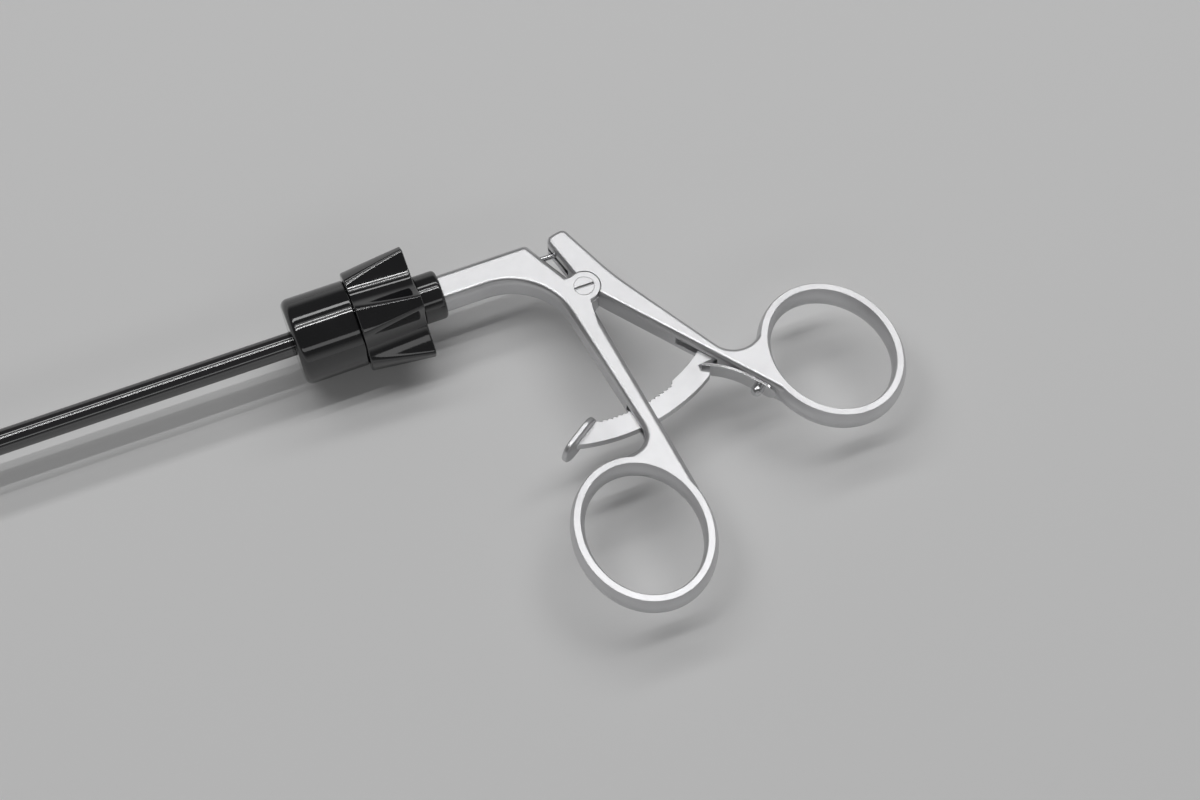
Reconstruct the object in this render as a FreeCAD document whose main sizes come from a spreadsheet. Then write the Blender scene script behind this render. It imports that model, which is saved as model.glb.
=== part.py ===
import FreeCAD, Part
import math
import os
import Sketcher
from FreeCAD import Placement, Rotation, Vector

# Laparoscopic grasper: a 5 mm insulated shaft with fenestrated jaws, a rotation knob
# and a two-ring handle with a ratchet. The shaft axis is the X axis, with the jaws at
# -X and the origin at the knob's front face. The handle lies in the XY plane, with the
# finger ring at -Y, and the pivot axis is +Z.

os.makedirs("parts", exist_ok=True)
doc = FreeCAD.newDocument("LaparoscopicGrasper")
sheet = doc.addObject("Spreadsheet::Sheet", "Sizes")

# Driving dimensions in millimetres and degrees.
sizes = {
    # insulated shaft
    "shaft_radius": 2.5,
    "tube_radius": 2.0,
    "tube_wall": 0.4,
    "sleeve_gap": 0.02,
    "sleeve_step": 0.25,
    "working_length": 331.5,
    "tube_seat": 20.0,
    # jaws
    "jaw_length": 20.0,
    "jaw_radius": 2.25,
    "jaw_tip_radius": 1.6,
    "jaw_heel": 2.65,
    "jaw_root": 1.15,
    "jaw_face_gap": 0.12,
    "jaw_nose_radius": 2.15,
    "jaw_window_width": 1.5,
    "jaw_window_start": 5.6,
    "jaw_window_end": 16.4,
    "serration_pitch": 0.8,
    "serration_depth": 0.3,
    "serration_start": 4.2,
    "tail_inner": 0.45,
    "tail_thickness": 0.75,
    "tail_wall": 0.42,
    "tail_eye_radius": 1.5,
    "jaw_pin_radius": 0.6,
    "pin_gap": 0.04,
    "drive_pin_radius": 0.45,
    "cam_gap": 0.07,
    "cam_overrun": 0.03,
    "drive_closed": 7.78,
    # jaw clevis
    "clevis_radius": 2.3,
    "clevis_gap": 1.3,
    "clevis_fork": 10.0,
    "clevis_floor": 0.9,
    "clevis_spigot": 5.0,
    "pin_recess": 0.15,
    # pull rod
    "rod_radius": 1.1,
    "rod_gap": 0.12,
    "blade_half": 0.38,
    "blade_length": 6.7,
    "blade_seat": 3.0,
    "blade_edge": 0.15,
    "ball_radius": 1.2,
    "ball_neck_radius": 0.6,
    "ball_neck_length": 5.4,
    "ball_shank_length": 9.0,
    # motion
    "pivot_x": 59.0,
    "pivot_y": -10.5,
    "lever_arm": 10.5,
    "ball_offset": -0.6,
    "handle_half_travel": 13.0,
    "jaw_ratio": 1.1,
    # rotation knob
    "cup_radius": 9.0,
    "cup_length": 13.3,
    "cup_wall": 1.6,
    "cup_edge": 1.6,
    "wheel_front_radius": 10.4,
    "wheel_rear_radius": 12.1,
    "wheel_length": 13.2,
    "wheel_edge": 0.9,
    "flute_radius": 16.8,
    "flute_floor": 8.9,
    "flute_count": 5,
    "flute_phase": 6.6,
    "hub_radius": 4.6,
    "hub_flange_radius": 7.3,
    "hub_flange": 3.0,
    "hub_front": 2.4,
    "seat_gap": 0.05,
    "spigot_radius": 2.3,
    "spigot_reach": 11.5,
    "seal_radius": 2.0,
    "seal_width": 1.4,
    "seal_place": 23.0,
    "ring_groove_radius": 1.85,
    "ring_radius": 3.3,
    "ring_width": 0.8,
    # rear collar
    "collar_radius": 5.1,
    "collar_length": 5.0,
    "collar_lip": 0.6,
    "collar_edge": 0.9,
    "knob_gap": 0.2,
    # handles
    "handle_thickness": 6.2,
    "handle_edge": 1.3,
    "thumb_edge": 0.9,
    "nose_radius": 4.0,
    "nose_shoulder": 0.6,
    "nose_length": 3.3,
    "spigot_gap": 0.05,
    "neck_top": 3.1,
    "neck_bottom": -3.3,
    "neck_end": 51.3,
    "corner_radius": 1.5,
    "bend_corner_x": 52.4,
    "bend_radius": 13.8,
    "face_corner_x": 56.9,
    "face_corner_y": -7.7,
    "boss_radius": 3.3,
    "boss_relief": 0.15,
    "bore_run": 0.4,
    "face_recess": 0.6,
    "face_flat": 0.9,
    "cheek": 1.5,
    "web_gap": 0.1,
    "arm_root_x": 59.0,
    "boss_lean": 0.5,
    "arm_root_y": -14.9,
    "arm_left_x": 59.0,
    "arm_left_y": -47.6,
    "arm_right_x": 63.9,
    "arm_right_y": -60.0,
    "shoulder_radius": 4.0,
    "shoulder_x": 45.0,
    "shoulder_y": -50.2,
    # rings, as ellipses through the middle of the section
    "finger_ring_x": 50.7,
    "finger_ring_y": -64.35,
    "finger_ring_long": 14.85,
    "finger_ring_short": 12.5,
    "finger_ring_tilt": 95.0,
    "thumb_ring_x": 100.2,
    "thumb_ring_y": -41.8,
    "thumb_ring_long": 14.9,
    "thumb_ring_short": 12.7,
    "thumb_ring_tilt": 106.0,
    "ring_flat": 1.3,
    "ring_crown": 0.8,
    # thumb lever and arm
    "lever_tip_x": 55.4,
    "lever_tip_y": 3.0,
    "lever_back_x": 59.9,
    "lever_back_y": 3.9,
    "lever_foot_x": 58.1,
    "lever_foot_y": -7.1,
    "thumb_back_x": 65.6,
    "thumb_back_y": -9.6,
    "saddle_x": 82.5,
    "saddle_y": -38.3,
    "back_radius": 60.0,
    "saddle_radius": 5.6,
    "thumb_front_x": 61.2,
    "thumb_front_y": -13.2,
    "heel_across": -9.8,
    "heel_up": -8.9,
    "thumb_shoulder_across": -6.8,
    "thumb_shoulder_up": 13.8,
    "root_across": 4.0,
    "root_up": 8.0,
    "slot_width": 1.6,
    "ball_gap": 0.12,
    "ball_climb": 0.5,
    "neck_swing": 0.65,
    "socket_floor_y": -5.0,
    # pivot screw
    "screw_radius": 1.6,
    "screw_head_radius": 2.1,
    "screw_head": 0.9,
    "screw_gap": 0.05,
    "screw_slot": 0.5,
    # ratchet
    "bar_centre_x": 54.8,
    "bar_centre_y": -5.0,
    "bar_inner": 34.2,
    "bar_depth": 4.4,
    "bar_half": 1.0,
    "bar_gap": 0.2,
    "bar_tip_angle": -97.5,
    "bar_teeth_end": -67.7,
    "bar_step": 0.55,
    "bar_root_angle": -52.3,
    "bar_heel_angle": -57.5,
    "bar_outer_tip_angle": -104.5,
    "notch_x": 74.2,
    "notch_y": -34.75,
    "notch_width": 1.2,
    "tooth_pitch": 1.05,
    "tooth_depth": 0.4,
    "pitch_lean": 0.2,
    "tooth_start": 0.9,
    "bar_pin_x": 78.1,
    "bar_pin_y": -33.0,
    "bar_eye_radius": 1.15,
    "bar_pin_radius": 0.75,
    "bar_pin_cover": 0.9,
    "pawl_gap": 1.5,
    "bar_window_room": 2.6,
    "heel_chamfer": 0.4,
    "heel_lead": 0.8,
    "crest_rise": 0.15,
    "bar_room_front": 7.5,
    "bar_room_mouth": 9.5,
    "bar_room_back": 3.0,
    "tab_length": 10.6,
    "tab_width": 6.4,
    "tab_thickness": 1.2,
    "tab_lead": 0.7,
    "tab_edge": 0.35,
    # leaf spring
    "leaf_thickness": 0.55,
    "leaf_width": 4.4,
    "leaf_screw_run": 37.6,
    "leaf_screw_depth": 1.6,
    "leaf_end_run": 41.3,
    "leaf_end_radius": 2.0,
    "leaf_lift_run": 35.2,
    "leaf_tip_gap": 0.6,
    "leaf_tip_drop": 0.25,
    "leaf_screw_radius": 0.7,
    "leaf_screw_head": 1.2,
    "leaf_screw_rise": 0.9,
}
for row, (alias, value) in enumerate(sizes.items(), start=1):
    sheet.set(f"A{row}", alias)
    sheet.set(f"B{row}", str(value))
    sheet.setAlias(f"B{row}", alias)
doc.recompute()


def size(expression):
    """Value of an expression of the sheet's aliases, in millimetres or degrees."""
    value = sheet.evalExpression(expression)
    return float(getattr(value, "Value", value))


def bound(expression):
    """The expression with each alias written as a cell of the sheet."""
    words = []
    word = ""
    for letter in expression + " ":
        if letter.isalnum() or letter == "_":
            word += letter
            continue
        words.append("Sizes." + word if word in sizes else word)
        words.append(letter)
        word = ""
    return "".join(words).strip()


def new_body(name):
    body = doc.addObject("PartDesign::Body", name)
    body.Label = name
    return body


def origin_feature(body, role):
    return next(item for item in body.Origin.OriginFeatures if item.Role == role)


def new_sketch(body, name, role, lift=None):
    """A sketch on one of the body's origin planes, lifted off it by an expression."""
    sketch = body.newObject("Sketcher::SketchObject", name)
    sketch.AttachmentSupport = [(origin_feature(body, role), "")]
    sketch.MapMode = "FlatFace"
    if lift:
        sketch.setExpression("AttachmentOffset.Base.z", bound(lift))
    return sketch


def pin_coordinate(sketch, index, position, kind, expression):
    value = size(expression)
    if abs(value) < 1e-9:
        axis = -2 if kind == "DistanceX" else -1
        sketch.addConstraint(Sketcher.Constraint("PointOnObject", index, position, axis))
        return
    constraint = Sketcher.Constraint(kind, -1, 1, index, position, value)
    number = sketch.addConstraint(constraint)
    sketch.setExpression(f"Constraints[{number}]", bound(expression))


def pin_point(sketch, index, position, across, up):
    pin_coordinate(sketch, index, position, "DistanceX", across)
    pin_coordinate(sketch, index, position, "DistanceY", up)


def draw_outline(sketch, corners):
    """Closed outline. A corner is (x, y) or (x, y, radius): with a radius, an arc runs to
    the next corner, bulging to the right of the way there, or to the left if negative.
    A half circle runs along Y, with its centre in line with its ends."""
    count = len(corners)
    places = [Vector(size(corner[0]), size(corner[1]), 0) for corner in corners]
    for number, corner in enumerate(corners):
        start, end = places[number], places[(number + 1) % count]
        if len(corner) == 2:
            sketch.addGeometry(Part.LineSegment(start, end), False)
            continue
        bend = size(corner[2])
        chord = end - start
        rise = math.sqrt(max(bend * bend - chord.Length ** 2 / 4, 0))
        left = Vector(-chord.y, chord.x, 0).normalize()
        centre = (start + end) / 2 + left * math.copysign(rise, bend)
        begin, stop = (start, end) if bend > 0 else (end, start)
        circle = Part.Circle(centre, Vector(0, 0, 1), abs(bend))
        arc = Part.ArcOfCircle(circle, circle.parameter(begin), circle.parameter(stop))
        sketch.addGeometry(arc, False)
    for number, corner in enumerate(corners):
        after = (number + 1) % count
        end = 1 if len(corner) == 3 and size(corner[2]) < 0 else 2
        start = 2 if len(corners[after]) == 3 and size(corners[after][2]) < 0 else 1
        sketch.addConstraint(Sketcher.Constraint("Coincident", number, end, after, start))
    for number, corner in enumerate(corners):
        start = 2 if len(corner) == 3 and size(corner[2]) < 0 else 1
        pin_point(sketch, number, start, corner[0], corner[1])
        if len(corner) == 3:
            value = abs(size(corner[2]))
            chord = (places[(number + 1) % count] - places[number]).Length
            if chord > 1.9999 * value:
                pin_coordinate(sketch, number, 3, "DistanceX", corner[0])
                continue
            index = sketch.addConstraint(Sketcher.Constraint("Radius", number, value))
            sketch.setExpression(f"Constraints[{index}]", bound(f"abs({corner[2]})"))


def draw_circle(sketch, across, up, radius):
    centre = Vector(size(across), size(up), 0)
    circle = Part.Circle(centre, Vector(0, 0, 1), size(radius))
    index = sketch.addGeometry(circle, False)
    pin_point(sketch, index, 3, across, up)
    number = sketch.addConstraint(Sketcher.Constraint("Radius", index, size(radius)))
    sketch.setExpression(f"Constraints[{number}]", bound(radius))


def pad(body, name, sketch, height):
    feature = body.newObject("PartDesign::Pad", name)
    feature.Profile = sketch
    feature.SideType = "Symmetric"
    feature.setExpression("Length", bound(height))
    return feature


def pocket(body, name, sketch, height):
    feature = body.newObject("PartDesign::Pocket", name)
    feature.Profile = sketch
    feature.SideType = "Symmetric"
    feature.setExpression("Length", bound(height))
    return feature


def turned(name, corners):
    """A piece turned about the X axis from a half profile of (x, radius) corners."""
    body = new_body(name)
    sketch = new_sketch(body, name + "_profile", "XY_Plane")
    draw_outline(sketch, corners)
    feature = body.newObject("PartDesign::Revolution", name + "_turned")
    feature.Profile = sketch
    feature.ReferenceAxis = (origin_feature(body, "X_Axis"), [""])
    feature.Angle = 360
    return body


def tube(name, start, end, inner, outer):
    corners = [(start, inner), (end, inner), (end, outer), (start, outer)]
    return turned(name, corners)


def cylinder(name, x, y, z, radius, height, axis=Vector(0, 0, 1)):
    """A drum of the document along an axis, with its sizes and place on the sheet."""
    drum = doc.addObject("Part::Cylinder", name)
    drum.setExpression("Radius", bound(radius))
    drum.setExpression("Height", bound(height))
    drum.Placement.Rotation = Rotation(Vector(0, 0, 1), axis)
    for letter, place in zip("xyz", (x, y, z)):
        drum.setExpression(f"Placement.Base.{letter}", bound(place))
    return drum


def block(name, x, y, z, length, width, height):
    """A box of the document from its lowest corner."""
    box = doc.addObject("Part::Box", name)
    for side, value in (("Length", length), ("Width", width), ("Height", height)):
        box.setExpression(side, bound(value))
    for letter, place in zip("xyz", (x, y, z)):
        box.setExpression(f"Placement.Base.{letter}", bound(place))
    return box


def cut(name, base, tool):
    feature = doc.addObject("Part::Cut", name)
    feature.Base = base
    feature.Tool = tool
    return feature


def fuse(name, *shapes):
    feature = doc.addObject("Part::MultiFuse", name)
    feature.Shapes = list(shapes)
    feature.Refine = True
    return feature


parts = {}


def keep(feature, node):
    feature.Label = node
    parts[node] = feature


# Places along the shaft that several pieces share.
jaw_pin_x = "(jaw_length - working_length)"
tube_end = f"({jaw_pin_x} + clevis_fork)"
drive_pin_x = f"({jaw_pin_x} + drive_closed - lever_arm*handle_half_travel*pi/180)"
blade_end = f"({drive_pin_x} + blade_length)"
ball_x = "(pivot_x + ball_offset)"
ball_root = f"({ball_x} - ball_neck_length)"
rod_end = f"({ball_root} - ball_shank_length)"
wheel_end = "(cup_length + wheel_length)"
collar_front = f"({wheel_end} + knob_gap)"
neck_front = f"({collar_front} + collar_length)"
nose_front = f"({neck_front} - nose_length)"
spigot_end = f"({wheel_end} + spigot_reach)"
ring_place = f"({collar_front} + collar_lip + seat_gap*2)"
bore_radius = "(rod_radius + rod_gap)"

# Insulated shaft: sleeve over a steel tube that carries the jaw clevis at its end.
sleeve_bore = "(tube_radius + sleeve_gap)"
sleeve_neck = "(shaft_radius - sleeve_step)"
keep(turned("sleeve", [
    (tube_end, sleeve_bore), ("hub_front", sleeve_bore), ("hub_front", sleeve_neck),
    ("0", sleeve_neck), ("0", "shaft_radius"), (tube_end, "shaft_radius")]),
    "insulation_sleeve")
keep(tube("steel_tube", tube_end, "tube_seat", "tube_radius - tube_wall", "tube_radius"),
     "outer_tube")


def make_clevis():
    """Fork with rounded nose and a spigot that is pressed into the steel tube."""
    nose = f"({jaw_pin_x} - jaw_nose_radius)"
    floor = f"({tube_end} - clevis_floor)"
    spigot = f"({tube_end} + clevis_spigot)"
    spigot_radius = "(tube_radius - tube_wall - sleeve_gap)"
    body = turned("clevis", [
        (nose, "0"), (floor, "0"), (floor, bore_radius), (spigot, bore_radius),
        (spigot, spigot_radius), (tube_end, spigot_radius), (tube_end, "clevis_radius"),
        (nose, "clevis_radius")])
    slot = new_sketch(body, "clevis_slot", "XY_Plane")
    draw_outline(slot, [(f"{nose} - 1", "-clevis_radius - 1"), (floor, "-clevis_radius - 1"),
                        (floor, "clevis_radius + 1"), (f"{nose} - 1", "clevis_radius + 1")])
    pocket(body, "clevis_fork_slot", slot, "2*clevis_gap")
    front = new_sketch(body, "clevis_nose", "XY_Plane")
    draw_outline(front, [
        (jaw_pin_x, "jaw_nose_radius", "jaw_nose_radius"), (jaw_pin_x, "-jaw_nose_radius"),
        (jaw_pin_x, "-clevis_radius - 1"), (f"{nose} - 1", "-clevis_radius - 1"),
        (f"{nose} - 1", "clevis_radius + 1"), (jaw_pin_x, "clevis_radius + 1")])
    pocket(body, "clevis_nose_round", front, "2*clevis_radius + 2")
    hole = new_sketch(body, "clevis_hole", "XY_Plane")
    draw_circle(hole, jaw_pin_x, "0", "jaw_pin_radius")
    pocket(body, "clevis_pin_hole", hole, "2*clevis_radius + 2")
    return body


keep(make_clevis(), "jaw_clevis")
keep(cylinder("jaw_axle", jaw_pin_x, "0", "pin_recess - clevis_radius", "jaw_pin_radius",
              "2*(clevis_radius - pin_recess)"), "jaw_pin")


# Pull rod, from the blade between the jaw tails to the ball in the thumb lever.
def make_rod():
    body = turned("rod", [(f"{blade_end} - blade_seat", "0"), (rod_end, "0"), (rod_end, "rod_radius"),
                          (f"{blade_end} - blade_seat", "rod_radius")])
    slot = new_sketch(body, "rod_slot", "XY_Plane")
    draw_outline(slot, [(f"{blade_end} - blade_seat - 1", "-rod_radius - 1"), (blade_end, "-rod_radius - 1"),
                        (blade_end, "rod_radius + 1"), (f"{blade_end} - blade_seat - 1", "rod_radius + 1")])
    pocket(body, "rod_blade_slot", slot, "2*blade_half")
    return body


keep(make_rod(), "pull_rod")


def make_blade():
    body = new_body("blade")
    half = "(rod_radius - blade_edge)"
    nose = new_sketch(body, "blade_profile", "XY_Plane")
    draw_outline(nose, [(drive_pin_x, half, half), (drive_pin_x, f"-{half}"),
                        (blade_end, f"-{half}"), (blade_end, half)])
    pad(body, "blade_plate", nose, "2*blade_half")
    hole = new_sketch(body, "blade_hole", "XY_Plane")
    draw_circle(hole, drive_pin_x, "0", "drive_pin_radius")
    pocket(body, "blade_pin_hole", hole, "4*blade_half")
    return body


keep(make_blade(), "rod_blade")
keep(cylinder("drive_axle", drive_pin_x, "0", "-tail_inner - tail_thickness",
              "drive_pin_radius", "2*(tail_inner + tail_thickness)"), "drive_pin")
ball_cut = "sqrt(ball_radius*ball_radius - ball_neck_radius*ball_neck_radius)"
keep(turned("ball_end", [
    (rod_end, "0"), (f"{ball_x} + ball_radius", "0", "ball_radius"),
    (f"{ball_x} - {ball_cut}", "ball_neck_radius"), (ball_root, "ball_neck_radius"),
    (ball_root, "rod_radius"), (rod_end, "rod_radius")]), "rod_ball_end")


# Jaws, drawn closed and then turned open about the jaw pin. The cam slot in each tail is
# a spiral, so that the jaws turn in proportion to the travel of the rod.
def cam_point(share, side):
    """Drive pin's centre on a closed jaw, at a share of the way from closed to open."""
    turn = math.radians(share * 2 * size("handle_half_travel") * size("jaw_ratio"))
    reach = size("drive_closed") - size("lever_arm") / size("jaw_ratio") * turn
    return Vector(reach * math.cos(turn), side * reach * math.sin(turn), 0)


def band(points, half_width, low, height):
    """A round-ended band along the arc through three points, as a solid."""
    path = Part.Wire(Part.Arc(*points).toShape())
    outline = path.makeOffset2D(half_width, 0, False, False)
    face = Part.makeFace(outline, "Part::FaceMakerBullseye")
    if face.normalAt(0, 0).z < 0:
        face.reverse()
    solid = face.extrude(Vector(0, 0, height))
    solid.translate(Vector(0, 0, low))
    return solid


def jaw_head(side):
    """Half-round tapered jaw with cross serrations and a long window."""
    length, heel = size("jaw_length"), size("jaw_heel")
    start, end = -length + size("jaw_tip_radius"), -size("jaw_root")
    root, tip = size("jaw_radius"), size("jaw_tip_radius")
    head = Part.makeCone(tip, root, end - start, Vector(start, 0, 0), Vector(1, 0, 0))
    head = head.fuse(Part.makeSphere(tip, Vector(start, 0, 0)))
    face = side * size("jaw_face_gap")
    half = Part.makeBox(length + 4, 4, 8, Vector(-length - 2, min(face, face + 4 * side), -4))
    head = head.common(half)
    head = head.cut(Part.makeCylinder(heel, 8, Vector(0, 0, -4)))
    pitch, depth = size("serration_pitch"), size("serration_depth")
    count = int((length - size("serration_start") - tip * 0.6) / pitch)
    for number in range(count):
        x = -size("serration_start") - number * pitch
        corners = [Vector(x - pitch / 2, face, -4), Vector(x + pitch / 2, face, -4),
                   Vector(x, face + side * depth, -4), Vector(x - pitch / 2, face, -4)]
        groove = Part.Face(Part.makePolygon(corners)).extrude(Vector(0, 0, 8))
        head = head.cut(groove)
    window = Part.makeBox(size("jaw_window_end - jaw_window_start"), 8,
                          size("jaw_window_width"),
                          Vector(-size("jaw_window_end"), -4, -size("jaw_window_width") / 2))
    return head.cut(window)


def make_jaw(side):
    """One jaw: side 1 opens towards +Y and has its tail at +Z, side -1 the opposite."""
    low = size("tail_inner") if side > 0 else -size("tail_inner + tail_thickness")
    thick = size("tail_thickness")
    pin = size("drive_pin_radius")
    overrun = size("cam_overrun")
    track = [cam_point(share, side) for share in (-overrun, 0.5, 1 + overrun)]
    tail = band(track, pin + size("tail_wall"), low, thick)
    eye = Part.makeCylinder(size("tail_eye_radius"), thick, Vector(0, 0, low))
    neck = Part.makeBox(size("jaw_heel") + 1.0, size("tail_eye_radius") + 0.35, thick,
                        Vector(-size("jaw_heel") - 1.0, 0, low))
    if side < 0:
        neck.translate(Vector(0, -size("tail_eye_radius") - 0.35, 0))
    shank = band([Vector(0, side * 0.1, 0), Vector(1.4, side * 0.55, 0), track[2]],
                 size("tail_eye_radius") * 0.62, low, thick)
    neck = neck.common(Part.makeCylinder(size("clevis_radius"), 40, Vector(-20, 0, 0),
                                         Vector(1, 0, 0)))
    jaw = tail.fuse([eye, shank, neck, jaw_head(side)])
    jaw = jaw.cut(band(track, pin + size("cam_gap"), low - 1, thick + 2))
    bore = size("jaw_pin_radius + pin_gap")
    jaw = jaw.cut(Part.makeCylinder(bore, 10, Vector(0, 0, -5)))
    return jaw.removeSplitter()


jaw_rest = size("handle_half_travel * jaw_ratio")
for jaw_name, side in (("upper_jaw", 1), ("lower_jaw", -1)):
    jaw = doc.addObject("Part::Feature", jaw_name + "_form")
    jaw.Shape = make_jaw(side)
    jaw.Placement = Placement(Vector(size(jaw_pin_x), 0, 0),
                              Rotation(Vector(0, 0, 1), -side * jaw_rest))
    keep(jaw, jaw_name)


# Rotation knob: moulded cup and winged wheel on a metal hub that carries the tube.
keep(turned("cup", [
    ("cup_wall", "shaft_radius + seat_gap"), ("0", "shaft_radius + seat_gap"),
    ("0", "cup_radius - cup_edge", "-cup_edge"), ("cup_edge", "cup_radius"),
    ("cup_length", "cup_radius"), ("cup_length", "hub_flange_radius + seat_gap"),
    ("cup_wall", "hub_flange_radius + seat_gap")]), "knob_cup")


def make_wheel():
    """Flared wheel whose long concave flutes leave five wings."""
    front = "cup_length"
    bore = "hub_radius + seat_gap"
    body = turned("wheel", [
        (front, bore), (front, "wheel_front_radius - wheel_edge", "-wheel_edge"),
        (f"{front} + wheel_edge", "wheel_front_radius"),
        (f"{wheel_end} - wheel_edge", "wheel_rear_radius", "-wheel_edge"),
        (wheel_end, "wheel_rear_radius - wheel_edge"), (wheel_end, bore)])
    sketch = new_sketch(body, "wheel_flute", "YZ_Plane")
    draw_circle(sketch, "(flute_floor + flute_radius)*sin(flute_phase)",
                "(flute_floor + flute_radius)*cos(flute_phase)", "flute_radius")
    flute = pocket(body, "wheel_flute_cut", sketch, f"2*{wheel_end} + 2")
    pattern = body.newObject("PartDesign::PolarPattern", "wheel_flutes")
    pattern.Originals = [flute]
    pattern.Axis = (origin_feature(body, "X_Axis"), [""])
    pattern.Angle = 360
    pattern.Occurrences = int(size("flute_count"))
    body.Tip = pattern
    return body


keep(make_wheel(), "knob_wheel")
groove_start = f"({ring_place} - 0.05)"
groove_end = f"({ring_place} + ring_width + 0.05)"
flange_start = "(cup_length - hub_flange)"
hub_bore = "(tube_radius + sleeve_gap)"
rod_hole = "(rod_radius + seat_gap*4)"
seal_end = "(seal_place + seal_width)"
keep(turned("hub", [
    ("hub_front", hub_bore), ("tube_seat", hub_bore), ("tube_seat", rod_hole),
    ("seal_place", rod_hole), ("seal_place", "seal_radius"), (seal_end, "seal_radius"),
    (seal_end, rod_hole), (spigot_end, rod_hole), (spigot_end, "spigot_radius"),
    (groove_end, "spigot_radius"), (groove_end, "ring_groove_radius"),
    (groove_start, "ring_groove_radius"), (groove_start, "spigot_radius"),
    (wheel_end, "spigot_radius"), (wheel_end, "hub_radius"), ("cup_length", "hub_radius"),
    ("cup_length", "hub_flange_radius"), (flange_start, "hub_flange_radius"),
    (flange_start, "hub_radius"), ("hub_front", "hub_radius")]), "shaft_hub")
keep(tube("seal", "seal_place + seat_gap", f"{seal_end} - seat_gap", "rod_radius + seat_gap",
          "seal_radius - sleeve_gap"), "rod_seal")
snap_ring = tube("snap_ring", ring_place, f"{ring_place} + ring_width",
                 "ring_groove_radius + sleeve_gap", "ring_radius")
doc.getObject("snap_ring_turned").Angle = 330
keep(snap_ring, "hub_snap_ring")
keep(turned("collar", [
    (collar_front, "spigot_radius + 2*seat_gap"),
    (collar_front, "collar_radius - collar_edge/2", "-collar_edge/2"),
    (f"{collar_front} + collar_edge/2", "collar_radius"),
    (f"{neck_front} - collar_edge", "collar_radius", "-collar_edge"),
    (neck_front, "collar_radius - collar_edge"), (neck_front, "nose_radius + seat_gap"),
    (f"{collar_front} + collar_lip", "nose_radius + seat_gap"),
    (f"{collar_front} + collar_lip", "spigot_radius + 2*seat_gap")]), "rear_collar")


# Handles: forged outlines with a crowned elliptical ring at the end of each.
def rim_edges(body, height, skip):
    """Names of the edges that lie on the two faces at the height, but for those skipped."""
    names = []
    for number, edge in enumerate(body.Shape.Edges, start=1):
        box = edge.BoundBox
        flat = box.ZLength < 1e-4 and abs(abs(box.ZMin) - height) < 1e-4
        if flat and not skip(box.Center):
            names.append(f"Edge{number}")
    return names


def round_rim(body, name, height, radius, skip=lambda centre: False):
    doc.recompute()
    base = body.Tip
    fillet = body.newObject("PartDesign::Fillet", name)
    fillet.Base = (base, rim_edges(body, height, skip))
    fillet.setExpression("Radius", bound(radius))
    doc.recompute()
    return fillet


def round_corners(body, name, corners, radius):
    """Rounds the upright edges of a plate that stand on the given corners."""
    doc.recompute()
    base = body.Tip
    names = []
    for across, up in corners:
        place = Vector(size(across), size(up), 0)
        for number, edge in enumerate(base.Shape.Edges, start=1):
            box = edge.BoundBox
            if box.ZLength > 1 and box.XLength + box.YLength < 1e-3:
                if Vector(box.Center.x, box.Center.y, 0).distanceToPoint(place) < 0.05:
                    names.append(f"Edge{number}")
    fillet = body.newObject("PartDesign::Fillet", name)
    fillet.Base = (base, names)
    fillet.setExpression("Radius", bound(radius))
    doc.recompute()
    return fillet


def make_ring(name):
    """Ring swept along an ellipse, with flat faces and crowned inner and outer walls."""
    tilt = size(name + "_tilt")
    centre = Vector(size(name + "_x"), size(name + "_y"), 0)
    spine = doc.addObject("Part::Ellipse", name + "_middle")
    spine.setExpression("MajorRadius", bound(name + "_long"))
    spine.setExpression("MinorRadius", bound(name + "_short"))
    spine.Placement = Placement(centre, Rotation(Vector(0, 0, 1), tilt))
    section = doc.addObject("Sketcher::SketchObject", name + "_section")
    half, top = "ring_flat/2", "handle_thickness/2"
    bulge = "(handle_thickness*handle_thickness/4 + ring_crown*ring_crown)/(2*ring_crown)"
    draw_outline(section, [(half, f"-{top}", bulge), (half, top), (f"-{half}", top, bulge),
                           (f"-{half}", f"-{top}")])
    away = Rotation(Vector(0, 0, 1), tilt).multVec(Vector(size(name + "_long"), 0, 0))
    upright = Rotation(Vector(1, 0, 0), 90)
    section.Placement = Placement(centre + away, Rotation(Vector(0, 0, 1), tilt) * upright)
    sweep = doc.addObject("Part::Sweep", name + "_sweep")
    sweep.Sections = [section]
    sweep.Spine = (spine, ["Edge1"])
    sweep.Solid = True
    sweep.Frenet = True
    return sweep


def ring_opening(name):
    """Elliptical column inside the middle line of a ring, which clears the arm there."""
    centre = Vector(size(name + "_x"), size(name + "_y"), -size("handle_thickness"))
    column = doc.addObject("Part::Ellipse", name + "_clear_line")
    column.setExpression("MajorRadius", bound(name + "_long"))
    column.setExpression("MinorRadius", bound(name + "_short"))
    column.Placement = Placement(centre, Rotation(Vector(0, 0, 1), size(name + "_tilt")))
    solid = doc.addObject("Part::Extrusion", name + "_clear")
    solid.Base = column
    solid.DirMode = "Custom"
    solid.Dir = Vector(0, 0, 1)
    solid.setExpression("LengthFwd", bound("2*handle_thickness"))
    solid.Solid = True
    return solid


window_half = "(bar_half + bar_gap)"
pawl_y = "(bar_centre_y - bar_inner + pawl_gap)"
bar_outer = "(bar_inner + bar_depth)"
window_low = f"(bar_centre_y - {bar_outer} - bar_window_room)"
boss_clear = "(boss_radius + 2*boss_relief)"


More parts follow.
